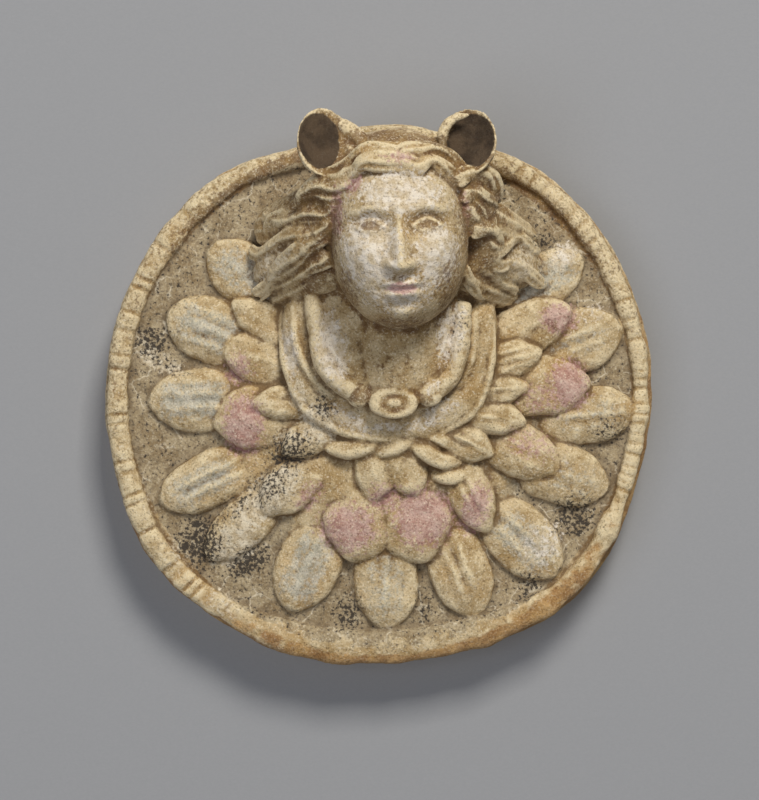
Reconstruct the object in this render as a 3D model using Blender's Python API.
"""Relief roundel in fired clay: a beaded disc, three rows of petals and a bust with cupped ears, all one piece.

The back lies flat on the plane y = 0, the relief faces -Y and the disc's middle is on the Y axis.
Lengths are in millimetres until the finished mesh is scaled to metres.
A place on the relief is given as (x, z, rise), where rise is the distance in front of the back plane.
"""

import math
from typing import NamedTuple

import bmesh
import bpy
from mathutils import Matrix, Vector

MM = 0.001
HALF_TURN = math.pi

# Disc and rim
DISC_RADIUS = 107.0
GROUND_RISE = 7.0
GROUND_SWELL = 9.0
MOUND_RADIUS = 72.0
EDGE_SKIRT = 3.0
BACK_ALLOWANCE = 4.0
RIM_INSET = 2.5
RIM_RADIUS = DISC_RADIUS - RIM_INSET
RIM_ROLL_WIDTH = 3.4
RIM_ROLL_HEIGHT = 3.6
RIM_RISE = 7.5
BEAD_SPACING = 7.5
BEAD_DEPTH = 0.9
BEADS_FROM = 143.0
BEADS_TO = 234.0
BEADS_FADE = 4.0

# Rows of petals, all turned about a middle a little beside the disc's own
PETAL_RIB = 1.1
PETAL_FULLNESS = 2.8
PETAL_POINT = 0.16
PETAL_FLATNESS = 0.55
OUTER_PETAL_LENGTH = 40.0
OUTER_PETAL_RISE = 6.6
OUTER_PETAL_THICKNESS = 6.6
MIDDLE_PETAL_LENGTH = 34.0
MIDDLE_PETAL_RISE = 10.5
MIDDLE_PETAL_THICKNESS = 6.6
INNER_PETAL_LENGTH = 26.0
INNER_PETAL_RISE = 15.0
INNER_PETAL_THICKNESS = 5.6

# Bust
BUST_CENTRE = (4.0, 27.0, 9.0)
BUST_HALF_WIDTH = 42.5
BUST_HALF_HEIGHT = 43.5
BUST_THICKNESS = 20.0
BUST_FLATNESS = 0.45
CHEST_CENTRE = (3.5, 24.0, 17.0)
CHEST_SIZE = (34.0, 30.0, 18.0)
CHEST_FLATNESS = 0.6
NECK_PATH = ((6.5, -6.0, 8.0), (7.0, 14.0, 15.0), (8.0, 34.0, 21.0), (8.5, 62.0, 26.0))
NECK_RADIUS = 23.0
NECK_NARROWING = 0.2
TORC_RADIUS = 3.1
TORC_KNOB_RADIUS = 4.3
MEDALLION_CENTRE = (5.6, -2.4, 32.0)
MEDALLION_SIZE = (8.8, 6.2, 3.2)

# Head
HEAD_CENTRE = (7.5, 66.0, 40.0)
HEAD_HEIGHT = 79.0
HEAD_TILT = math.radians(2.5)
HEAD_HALF_WIDTH = 35.0
HEAD_HALF_DEPTH = 39.0
HEAD_HALF_HEIGHT = 50.0
JAW_FULLNESS = 2.4
PROFILE_FULLNESS = 3.6
FACE_FLATNESS = 2.3
NOSE_TOP = 8.0
NOSE_FOOT = -22.5
NOSE_ROOT_RISE = 2.4
NOSE_TIP_RISE = 9.0
NOSE_ROOT_SPREAD = 2.9
NOSE_TIP_SPREAD = 4.8
NOSE_UNDERCUT = 3.5
NOSE_ROOT_FADE = 6.0
HAIR_MASS_CENTRE = (7.0, 64.0, 22.0)
HAIR_MASS_SIZE = (35.0, 37.0, 26.0)
CROWN_CENTRE = (4.5, 72.0, 22.0)
CROWN_SIZE = (35.0, 34.0, 30.0)

# Mesh fineness
FUSING_GRID = 1.3
FUSING_SOFTENING = 2
TRIANGLE_LIMIT = 9900
COARSE_AROUND = 14
COARSE_ALONG = 26
FINE_AROUND = 72
FINE_ALONG = 56
DISC_STEPS = 180

CLAY_COLOUR = (0.44, 0.34, 0.22, 1.0)
CLAY_ROUGHNESS = 0.9
NODE_NAME = "terracotta_roundel"


class Swell(NamedTuple):
    """One place where the rim bulges out or is worn back: angle in degrees, amount and spread."""

    angle: float
    amount: float
    spread: float


class Petal(NamedTuple):
    """One petal: the angle it points to in degrees, the gap from tip to rim, its width and its own turn."""

    angle: float
    gap: float
    width: float
    turn: float = 0.0


class Roll(NamedTuple):
    """One modelled roll of clay, such as a lock of hair: its radius and the places it passes."""

    radius: float
    path: tuple[tuple[float, float, float], ...]


class Boss(NamedTuple):
    """One soft rise or hollow of the face, in hundredths of the head's height."""

    across: float
    up: float
    spread_across: float
    spread_up: float
    rise: float


RIM_SWELLS = (
    Swell(-145.0, 2.6, 14.0),
    Swell(-85.0, -3.4, 22.0),
    Swell(-45.0, 2.4, 14.0),
    Swell(-12.0, -1.4, 14.0),
    Swell(48.0, 1.4, 16.0),
    Swell(72.0, -1.5, 9.0),
    Swell(107.0, -4.5, 12.0),
)

OUTER_PETALS = (
    Petal(35.0, 6.5, 22.0),
    Petal(16.5, 4.5, 26.0),
    Petal(-3.0, 2.5, 24.0, 8.0),
    Petal(-22.0, 6.5, 25.0, 4.0),
    Petal(-45.0, 5.0, 26.0),
    Petal(-66.0, 9.5, 25.0),
    Petal(-88.0, 12.5, 26.0),
    Petal(-113.0, 13.0, 26.0),
    Petal(-137.0, 11.0, 20.0),
    Petal(-154.0, 8.5, 23.0),
    Petal(-179.0, 13.0, 26.0),
    Petal(158.5, 14.0, 27.0),
    Petal(138.0, 14.5, 25.0),
)

MIDDLE_PETALS = (
    Petal(25.0, 21.5, 21.0),
    Petal(4.0, 21.0, 24.0),
    Petal(-22.0, 28.0, 22.0, -4.0),
    Petal(-51.0, 36.0, 18.0, -14.0),
    Petal(-74.5, 37.0, 27.0),
    Petal(-99.0, 39.0, 26.0),
    Petal(-135.0, 39.5, 21.0),
    Petal(-171.0, 38.5, 27.0),
    Petal(162.0, 39.5, 22.0),
    Petal(147.0, 35.5, 17.0),
)

INNER_PETALS = (
    Petal(16.0, 38.0, 15.0),
    Petal(4.0, 45.5, 13.0),
    Petal(-10.0, 46.0, 14.0),
    Petal(-27.0, 54.5, 16.0),
    Petal(-68.0, 63.0, 15.5),
    Petal(-93.0, 64.0, 14.5),
    Petal(-150.0, 60.0, 15.0),
    Petal(-177.0, 54.0, 14.0),
)

SMALL_LEAVES = (
    Roll(4.4, ((-20.0, -20.5, 20.0), (-10.0, -20.0, 22.0), (1.0, -16.5, 22.0))),
    Roll(4.2, ((-2.0, -21.5, 20.0), (4.5, -19.5, 23.0), (11.5, -17.0, 21.0))),
    Roll(4.2, ((13.0, -18.0, 21.0), (20.0, -24.5, 22.0), (30.5, -26.5, 19.0))),
    Roll(3.2, ((23.0, -31.0, 17.0), (28.0, -31.5, 19.0), (33.5, -29.5, 17.0))),
)

TORC_ARMS = (
    Roll(TORC_RADIUS, ((-29.0, 41.0, 26.0), (-27.5, 22.0, 29.0), (-22.5, 10.0, 31.0), (-8.0, -2.5, 33.5))),
    Roll(TORC_RADIUS, ((33.0, 38.0, 29.0), (31.5, 18.0, 31.0), (28.0, 7.5, 32.0), (20.0, 0.5, 33.5))),
)
TORC_KNOBS = ((-7.5, -2.2, 33.0), (19.5, 1.0, 33.0))

LOCKS = (
    Roll(3.4, ((7.3, 93.0, 66.0), (-4.0, 94.0, 65.0), (-11.0, 91.5, 61.0), (-17.0, 87.0, 57.0), (-23.0, 84.5, 52.0))),
    Roll(3.6, ((7.5, 90.0, 67.5), (-5.0, 90.0, 67.0), (-10.0, 87.0, 63.5), (-15.5, 83.5, 59.0), (-24.0, 82.0, 52.0))),
    Roll(4.6, ((-10.5, 84.0, 62.0), (-17.0, 81.0, 58.0), (-25.0, 80.5, 53.0), (-31.0, 77.0, 47.0), (-30.0, 72.5, 42.0))),
    Roll(3.8, ((-16.0, 78.0, 57.0), (-19.0, 72.5, 54.0), (-26.0, 71.0, 49.0), (-37.0, 69.0, 36.0), (-46.5, 73.0, 21.0))),
    Roll(3.8, ((-18.5, 70.0, 52.0), (-22.5, 65.5, 50.0), (-34.5, 62.5, 38.0), (-46.5, 57.5, 23.0), (-52.0, 58.0, 15.0))),
    Roll(2.8, ((-30.5, 70.5, 42.0), (-37.0, 71.5, 34.0), (-42.5, 69.0, 28.0), (-44.0, 65.0, 24.0), (-40.5, 62.0, 25.0))),
    Roll(4.0, ((-19.0, 64.0, 50.0), (-28.5, 59.0, 44.0), (-38.5, 50.5, 31.0), (-44.5, 44.5, 22.0), (-49.0, 39.5, 16.0))),
    Roll(3.4, ((-19.0, 56.0, 46.0), (-24.0, 51.5, 42.0), (-36.0, 46.0, 28.0), (-41.5, 41.5, 20.0))),
    Roll(3.4, ((7.3, 93.0, 66.0), (13.0, 94.5, 65.5), (19.5, 96.0, 64.0), (25.5, 93.5, 61.0), (34.0, 87.0, 55.0))),
    Roll(3.6, ((7.5, 90.0, 67.5), (14.0, 89.0, 67.0), (19.5, 91.0, 65.5), (24.5, 88.0, 63.0), (31.5, 82.5, 57.0))),
    Roll(4.0, ((29.0, 84.0, 60.0), (34.5, 86.5, 57.0), (40.5, 85.5, 52.0), (44.5, 81.5, 47.0), (46.0, 75.5, 41.0))),
    Roll(4.0, ((31.5, 79.0, 57.0), (37.0, 79.5, 54.0), (41.0, 76.0, 50.0), (45.5, 74.5, 44.0))),
    Roll(4.8, ((32.5, 75.0, 54.0), (36.5, 70.5, 51.0), (41.0, 67.5, 46.0), (44.5, 71.0, 41.0))),
    Roll(4.0, ((35.5, 65.5, 50.0), (40.5, 65.5, 48.0), (44.5, 63.0, 43.0), (46.0, 58.5, 38.0))),
    Roll(3.4, ((41.0, 62.5, 44.0), (46.0, 58.5, 38.0), (53.5, 62.5, 28.0), (58.0, 60.0, 23.0), (64.0, 57.5, 17.0))),
    Roll(3.2, ((41.5, 57.0, 40.0), (47.0, 53.0, 34.0), (52.0, 53.5, 29.0), (61.5, 46.5, 20.0), (67.0, 44.5, 15.0))),
    Roll(2.8, ((39.0, 58.5, 42.0), (42.5, 52.5, 36.0), (50.0, 44.5, 26.0), (55.0, 42.0, 19.0))),
    Roll(2.8, ((32.5, 50.0, 44.0), (35.0, 45.0, 38.0), (39.0, 41.5, 32.0), (42.0, 39.0, 26.0))),
)

FACE_BOSSES = (
    Boss(14.0, 0.5, 9.0, 5.6, -5.4),
    Boss(14.0, -0.8, 5.2, 3.0, 3.2),
    Boss(7.0, 7.0, 4.6, 2.6, 1.4),
    Boss(14.0, 8.6, 5.0, 2.4, 1.8),
    Boss(21.0, 7.0, 5.0, 2.6, 1.6),
    Boss(5.4, -19.0, 2.6, 2.7, 3.4),
    Boss(3.6, -28.8, 4.6, 1.8, 1.7),
    Boss(0.0, -34.0, 6.0, 2.1, 3.2),
    Boss(0.0, -31.2, 9.0, 1.0, -1.8),
    Boss(0.0, -38.6, 7.0, 2.2, -1.6),
    Boss(0.0, -45.0, 8.5, 6.0, 5.5),
    Boss(17.0, -14.0, 9.0, 9.0, 2.4),
)


HAIR_MASSES = (
    Roll(8.0, ((3.0, 90.0, 58.0), (-13.0, 84.0, 53.0), (-22.0, 73.0, 45.0), (-24.0, 60.0, 37.0), (-22.0, 47.0, 30.0))),
    Roll(8.0, ((10.0, 90.0, 58.0), (26.0, 86.0, 54.0), (37.0, 77.0, 46.0), (39.0, 64.0, 40.0), (37.0, 50.0, 32.0))),
    Roll(14.0, ((-16.0, 77.0, 31.0), (-31.0, 68.0, 23.0), (-46.0, 60.0, 8.0))),
    Roll(14.0, ((-14.0, 62.0, 27.0), (-28.0, 50.0, 19.0), (-42.0, 42.0, 6.0))),
    Roll(13.0, ((32.0, 72.0, 32.0), (45.0, 63.0, 23.0), (62.0, 56.0, 6.0))),
    Roll(13.0, ((30.0, 58.0, 28.0), (43.0, 49.0, 19.0), (56.0, 42.0, 6.0))),
)


class Ear(NamedTuple):
    """One cupped ear: its middle, half width, half height, and its turns in degrees."""

    centre: tuple[float, float, float]
    half_width: float
    half_height: float
    lean: float
    yaw: float
    roll: float


EAR_THICKNESS = 3.2
EAR_HOLLOW = 7.0
EARS = (
    Ear((-21.5, 99.0, 52.0), 10.2, 14.4, -24.0, 20.0, 14.0),
    Ear((34.0, 99.0, 52.0), 11.4, 14.4, -24.0, -14.0, -12.0),
)


def place(x, z, rise):
    """Turns a place on the relief into a point in space."""
    return Vector((x, -rise, z))


def smooth_step(low, high, value):
    """Rises softly from nought at low to one at high."""
    share = min(1.0, max(0.0, (value - low) / (high - low)))
    return share * share * (3.0 - 2.0 * share)


def along_path(points, share):
    """Gives the point at a share of a smooth curve through the given points."""
    scaled = share * (len(points) - 1)
    index = min(int(scaled), len(points) - 2)
    local = scaled - index
    before = points[max(index - 1, 0)]
    start = points[index]
    end = points[index + 1]
    after = points[min(index + 2, len(points) - 1)]
    linear = (end - before) * local
    square = (before * 2.0 - start * 5.0 + end * 4.0 - after) * local**2
    cube = (start * 3.0 - before - end * 3.0 + after) * local**3
    return start + (linear + square + cube) * 0.5


def unit_sphere(around, along):
    """Gives the mesh of a unit sphere with its poles on Z, made once for each fineness."""
    name = f"unit sphere {around} {along}"
    mesh = bpy.data.meshes.get(name)
    if mesh is None:
        mesh = bpy.data.meshes.new(name)
        ball = bmesh.new()
        bmesh.ops.create_uvsphere(ball, u_segments=round(around), v_segments=round(along), radius=1.0)
        ball.to_mesh(mesh)
        ball.free()
    return mesh


def add_shaped_sphere(bm, around, along, shape):
    """Adds a sphere whose every point has been moved by the shape function."""
    form = unit_sphere(around, along).copy()
    for vert in form.vertices:
        vert.co = shape(vert.co)
    bm.from_mesh(form)
    bpy.data.meshes.remove(form)


def add_roll(bm, roll, end_sharpness=5.0, narrowing=0.45):
    """Adds a roll of clay with rounded, tapering ends along its path."""
    points = [place(*spot) for spot in roll.path]
    step = 1.0 / COARSE_ALONG

    def shape(unit):
        share = math.acos(max(-1.0, min(1.0, unit.z))) / HALF_TURN
        middle = along_path(points, share)
        ahead = along_path(points, min(1.0, share + step))
        behind = along_path(points, max(0.0, share - step))
        tangent = (ahead - behind).normalized()
        side = tangent.cross(Vector((0.0, -1.0, 0.0))).normalized()
        up = side.cross(tangent)
        ring = Vector((unit.x, unit.y, 0.0))
        if ring.length > 0.0:
            ring.normalize()
        taper = 1.0 - narrowing * share
        width = roll.radius * taper * (1.0 - abs(2.0 * share - 1.0) ** end_sharpness) ** 0.5
        return middle + (side * ring.x + up * ring.y) * width

    add_shaped_sphere(bm, COARSE_AROUND, COARSE_ALONG, shape)


def add_ellipsoid(bm, centre, size, around=FINE_AROUND, along=FINE_ALONG, flatness=1.0):
    """Adds an ellipsoid whose front is flattened towards a plateau by a flatness below one."""
    width, height, depth = size

    def shape(unit):
        swelled = math.copysign(abs(unit.y) ** flatness, unit.y)
        return place(centre[0] + width * unit.x, centre[1] + height * unit.z, centre[2] - depth * swelled)

    add_shaped_sphere(bm, around, along, shape)


def outline_radius(angle):
    """Gives how far the rim stands out of a true circle at an angle in degrees."""
    total = 0.0
    for swell in RIM_SWELLS:
        away = (angle - swell.angle + 180.0) % 360.0 - 180.0
        total += swell.amount * math.exp(-((away / swell.spread) ** 2))
    return total


def add_disc(bm):
    """Adds the disc as a profile spun about the Y axis, then worn to its outline."""
    profile = (
        (0.0, GROUND_RISE + GROUND_SWELL),
        (MOUND_RADIUS * 0.55, GROUND_RISE + GROUND_SWELL),
        (MOUND_RADIUS, GROUND_RISE + 1.0),
        (RIM_RADIUS, GROUND_RISE),
        (DISC_RADIUS, GROUND_RISE * 0.8),
        (DISC_RADIUS + EDGE_SKIRT, GROUND_RISE * 0.25),
        (DISC_RADIUS + EDGE_SKIRT, -BACK_ALLOWANCE),
        (0.0, -BACK_ALLOWANCE),
    )
    verts = [bm.verts.new(place(radius, 0.0, rise)) for radius, rise in profile]
    edges = [bm.edges.new(pair) for pair in zip(verts[:-1], verts[1:])]
    before = set(bm.verts) - set(verts)
    bmesh.ops.spin(
        bm,
        geom=verts + edges,
        cent=(0.0, 0.0, 0.0),
        axis=(0.0, 1.0, 0.0),
        angle=2.0 * HALF_TURN,
        steps=DISC_STEPS,
        use_merge=True,
    )
    disc = [vert for vert in bm.verts if vert not in before]
    bmesh.ops.remove_doubles(bm, verts=disc, dist=0.01)
    disc = [vert for vert in bm.verts if vert not in before]
    for vert in disc:
        radius = math.hypot(vert.co.x, vert.co.z)
        if radius > DISC_RADIUS * 0.6:
            angle = math.degrees(math.atan2(vert.co.z, vert.co.x))
            grow = 1.0 + outline_radius(angle) / RIM_RADIUS
            vert.co.x *= grow
            vert.co.z *= grow


def add_rim(bm):
    """Adds the rolled rim, pinched into beads along its left side."""
    beads = round(math.radians(BEADS_TO - BEADS_FROM) * RIM_RADIUS / BEAD_SPACING)

    def shape(unit):
        share = math.acos(max(-1.0, min(1.0, unit.z))) / HALF_TURN
        turn = (0.25 + share * 1.002) * 2.0 * HALF_TURN
        degrees = math.degrees(turn) % 360.0
        ring = Vector((unit.x, unit.y, 0.0))
        if ring.length > 0.0:
            ring.normalize()
        beaded = smooth_step(BEADS_FROM - BEADS_FADE, BEADS_FROM, degrees)
        beaded *= 1.0 - smooth_step(BEADS_TO, BEADS_TO + BEADS_FADE, degrees)
        phase = (degrees - BEADS_FROM) / (BEADS_TO - BEADS_FROM) * beads
        pinch = 1.0 - abs(math.sin(phase * HALF_TURN)) ** 0.6
        size = 1.0 - beaded * pinch * BEAD_DEPTH / RIM_ROLL_HEIGHT
        radius = RIM_RADIUS + outline_radius(degrees) + ring.x * RIM_ROLL_WIDTH * size
        rise = RIM_RISE + ring.y * RIM_ROLL_HEIGHT * size
        return place(radius * math.cos(turn), radius * math.sin(turn), rise)

    add_shaped_sphere(bm, COARSE_AROUND, 4 * DISC_STEPS, shape)


def add_petal(bm, petal, length, rise, thickness):
    """Adds one domed petal with a folded midrib, pointing out from the disc's middle."""
    turn = math.radians(petal.angle)
    reach = RIM_RADIUS - petal.gap
    tip = place(reach * math.cos(turn), reach * math.sin(turn), rise)
    lie = turn + math.radians(petal.turn)
    along = place(math.cos(lie), math.sin(lie), 0.0)
    across = place(-math.sin(lie), math.cos(lie), 0.0)
    front = Vector((0.0, -1.0, 0.0))
    middle = tip - along * (length * 0.5)

    def shape(unit):
        side, up, forward = unit
        ring = max(0.001, 1.0 - forward**2)
        fuller = ((1.0 - abs(forward) ** PETAL_FULLNESS) / ring) ** 0.5
        point = 1.0 + PETAL_POINT * max(0.0, forward) ** 8
        swell = up**PETAL_FLATNESS if up > 0.0 else up
        rib = PETAL_RIB * ring * max(0.0, up)
        fold = rib * (math.exp(-((side / 0.13) ** 2)) - 0.8 * math.exp(-(((abs(side) - 0.34) / 0.15) ** 2)))
        spot = middle + along * (forward * length * 0.46 * point)
        spot += across * (side * fuller * petal.width * 0.5)
        return spot + front * (swell * thickness + fold)

    add_shaped_sphere(bm, 2 * COARSE_AROUND, COARSE_ALONG, shape)


def add_ear(bm, ear):
    """Adds one cupped ear, hollow in front and rounded behind."""
    turn = Matrix.Rotation(math.radians(ear.roll), 3, "Y")
    turn = turn @ Matrix.Rotation(math.radians(ear.yaw), 3, "Z")
    turn = turn @ Matrix.Rotation(math.radians(ear.lean), 3, "X")

    def shape(unit):
        across, forward, up = unit
        spread = across**2 + up**2
        depth = forward * EAR_THICKNESS
        if forward < 0.0:
            depth += EAR_HOLLOW * max(0.0, 1.0 - spread) ** 0.8
        else:
            depth += EAR_HOLLOW * max(0.0, 1.0 - spread) ** 0.8 * 0.7
        local = Vector((across * ear.half_width, depth, up * ear.half_height))
        return place(*ear.centre) + turn @ local

    add_shaped_sphere(bm, 2 * COARSE_AROUND, COARSE_ALONG, shape)


def face_relief(across, up):
    """Gives how far the face stands out at a place, in hundredths of the head's height."""
    total = 0.0
    for boss in FACE_BOSSES:
        for middle in {boss.across, -boss.across}:
            reach = ((across - middle) / boss.spread_across) ** 2 + ((up - boss.up) / boss.spread_up) ** 2
            total += boss.rise * math.exp(-reach)
    fall = min(1.0, max(0.0, (NOSE_TOP - up) / (NOSE_TOP - NOSE_FOOT)))
    ridge = NOSE_ROOT_RISE + (NOSE_TIP_RISE - NOSE_ROOT_RISE) * fall**1.2
    spread = NOSE_ROOT_SPREAD + (NOSE_TIP_SPREAD - NOSE_ROOT_SPREAD) * fall
    ridge *= smooth_step(NOSE_FOOT - NOSE_UNDERCUT, NOSE_FOOT + NOSE_UNDERCUT * 0.4, up)
    ridge *= 1.0 - smooth_step(NOSE_TOP, NOSE_TOP + NOSE_ROOT_FADE, up)
    return total + ridge * math.exp(-((across / spread) ** 2))


def add_head(bm):
    """Adds the head with its calm, evenly proportioned face."""
    unit = HEAD_HEIGHT / 100.0
    tilt = Matrix.Rotation(-HEAD_TILT, 3, "Y")

    def shape(spot):
        side, back, up = spot
        ring = math.hypot(side, back)
        if ring > 0.0:
            fullness = (abs(side / ring) ** FACE_FLATNESS + abs(back / ring) ** FACE_FLATNESS) ** (1.0 / FACE_FLATNESS)
            side /= ring * fullness
            back /= ring * fullness
        low = up < 0.0
        width = (1.0 - abs(up) ** (JAW_FULLNESS if low else 2.0)) ** 0.5
        depth = (1.0 - abs(up) ** (PROFILE_FULLNESS if low and back < 0.0 else 2.2)) ** 0.5
        across = side * width * HEAD_HALF_WIDTH
        forward = -back * depth * HEAD_HALF_DEPTH
        height = up * HEAD_HALF_HEIGHT
        forward += face_relief(across, height) * smooth_step(0.1, 0.6, -back)
        local = Vector((across, -forward, height)) * unit
        return place(*HEAD_CENTRE) + tilt @ local

    add_shaped_sphere(bm, 2 * FINE_AROUND, 2 * FINE_ALONG, shape)


def model_clay(bm):
    """Adds every modelled form of the roundel to one mesh."""
    add_disc(bm)
    add_rim(bm)
    for petal in OUTER_PETALS:
        add_petal(bm, petal, OUTER_PETAL_LENGTH, OUTER_PETAL_RISE, OUTER_PETAL_THICKNESS)
    for petal in MIDDLE_PETALS:
        add_petal(bm, petal, MIDDLE_PETAL_LENGTH, MIDDLE_PETAL_RISE, MIDDLE_PETAL_THICKNESS)
    for petal in INNER_PETALS:
        add_petal(bm, petal, INNER_PETAL_LENGTH, INNER_PETAL_RISE, INNER_PETAL_THICKNESS)
    for roll in SMALL_LEAVES:
        add_roll(bm, roll, 2.0)
    bust_size = (BUST_HALF_WIDTH, BUST_HALF_HEIGHT, BUST_THICKNESS)
    add_ellipsoid(bm, BUST_CENTRE, bust_size, flatness=BUST_FLATNESS)
    add_ellipsoid(bm, CHEST_CENTRE, CHEST_SIZE, flatness=CHEST_FLATNESS)
    add_roll(bm, Roll(NECK_RADIUS, NECK_PATH), narrowing=NECK_NARROWING)
    for roll in TORC_ARMS:
        add_roll(bm, roll, 20.0)
    for knob in TORC_KNOBS:
        add_ellipsoid(bm, knob, (TORC_KNOB_RADIUS,) * 3, COARSE_AROUND, COARSE_AROUND)
    add_ellipsoid(bm, MEDALLION_CENTRE, MEDALLION_SIZE, flatness=0.6)
    add_ellipsoid(bm, CROWN_CENTRE, CROWN_SIZE)
    add_ellipsoid(bm, HAIR_MASS_CENTRE, HAIR_MASS_SIZE)
    add_head(bm)
    for roll in HAIR_MASSES + LOCKS:
        add_roll(bm, roll)
    for ear in EARS:
        add_ear(bm, ear)
    bmesh.ops.recalc_face_normals(bm, faces=bm.faces[:])


def evaluated(obj):
    """Gives the mesh of an object with its modifiers worked in."""
    graph = bpy.context.evaluated_depsgraph_get()
    graph.update()
    return bpy.data.meshes.new_from_object(obj.evaluated_get(graph))


def keep_outer_skin(bm):
    """Removes any small loose shell left inside the clay."""
    unseen = set(bm.verts)
    shells = []
    while unseen:
        shell = set()
        edge_of_search = [unseen.pop()]
        while edge_of_search:
            vert = edge_of_search.pop()
            shell.add(vert)
            for edge in vert.link_edges:
                other = edge.other_vert(vert)
                if other in unseen:
                    unseen.remove(other)
                    edge_of_search.append(other)
        shells.append(shell)
    shells.sort(key=len)
    loose = [vert for shell in shells[:-1] for vert in shell]
    bmesh.ops.delete(bm, geom=loose, context="VERTS")


def fuse(obj):
    """Fuses the overlapping forms into one skin, softens it and thins its triangles."""
    grid = obj.modifiers.new("fused clay", "REMESH")
    grid.mode = "VOXEL"
    grid.voxel_size = FUSING_GRID
    soften = obj.modifiers.new("softened clay", "SMOOTH")
    soften.factor = 0.5
    soften.iterations = FUSING_SOFTENING
    fused = evaluated(obj)
    obj.modifiers.clear()
    skin = bmesh.new()
    skin.from_mesh(fused)
    keep_outer_skin(skin)
    bmesh.ops.triangulate(skin, faces=skin.faces[:])
    skin.to_mesh(fused)
    skin.free()
    obj.data = fused
    thin = obj.modifiers.new("thinned triangles", "DECIMATE")
    thin.ratio = TRIANGLE_LIMIT / len(fused.polygons)
    thinned = evaluated(obj)
    obj.modifiers.clear()
    obj.data = thinned


def cut_back_flat(bm):
    """Cuts the back off along the plane y = 0 and closes it with one flat face."""
    cut = bmesh.ops.bisect_plane(
        bm,
        geom=bm.verts[:] + bm.edges[:] + bm.faces[:],
        plane_co=(0.0, 0.0, 0.0),
        plane_no=(0.0, 1.0, 0.0),
        clear_outer=True,
    )
    rim = [item for item in cut["geom_cut"] if isinstance(item, bmesh.types.BMEdge)]
    closed = bmesh.ops.contextual_create(bm, geom=rim)
    bmesh.ops.triangulate(bm, faces=closed["faces"])
    bmesh.ops.recalc_face_normals(bm, faces=bm.faces[:])


def clay_material():
    """Makes the plain fired-clay material."""
    material = bpy.data.materials.new("fired clay")
    material.use_nodes = True
    shader = material.node_tree.nodes["Principled BSDF"]
    shader.inputs["Base Color"].default_value = CLAY_COLOUR
    shader.inputs["Roughness"].default_value = CLAY_ROUGHNESS
    shader.inputs["Metallic"].default_value = 0.0
    return material


def main():
    """Builds the roundel as one object."""
    for old in list(bpy.data.objects):
        bpy.data.objects.remove(old, do_unlink=True)
    mesh = bpy.data.meshes.new(NODE_NAME)
    clay = bmesh.new()
    model_clay(clay)
    clay.to_mesh(mesh)
    clay.free()
    roundel = bpy.data.objects.new(NODE_NAME, mesh)
    bpy.context.scene.collection.objects.link(roundel)
    fuse(roundel)
    finished = bmesh.new()
    finished.from_mesh(roundel.data)
    cut_back_flat(finished)
    bmesh.ops.scale(finished, vec=(MM, MM, MM), verts=finished.verts[:])
    finished.to_mesh(roundel.data)
    finished.free()
    roundel.data.materials.clear()
    roundel.data.materials.append(clay_material())
    for polygon in roundel.data.polygons:
        polygon.use_smooth = polygon.normal.y < 0.99


main()
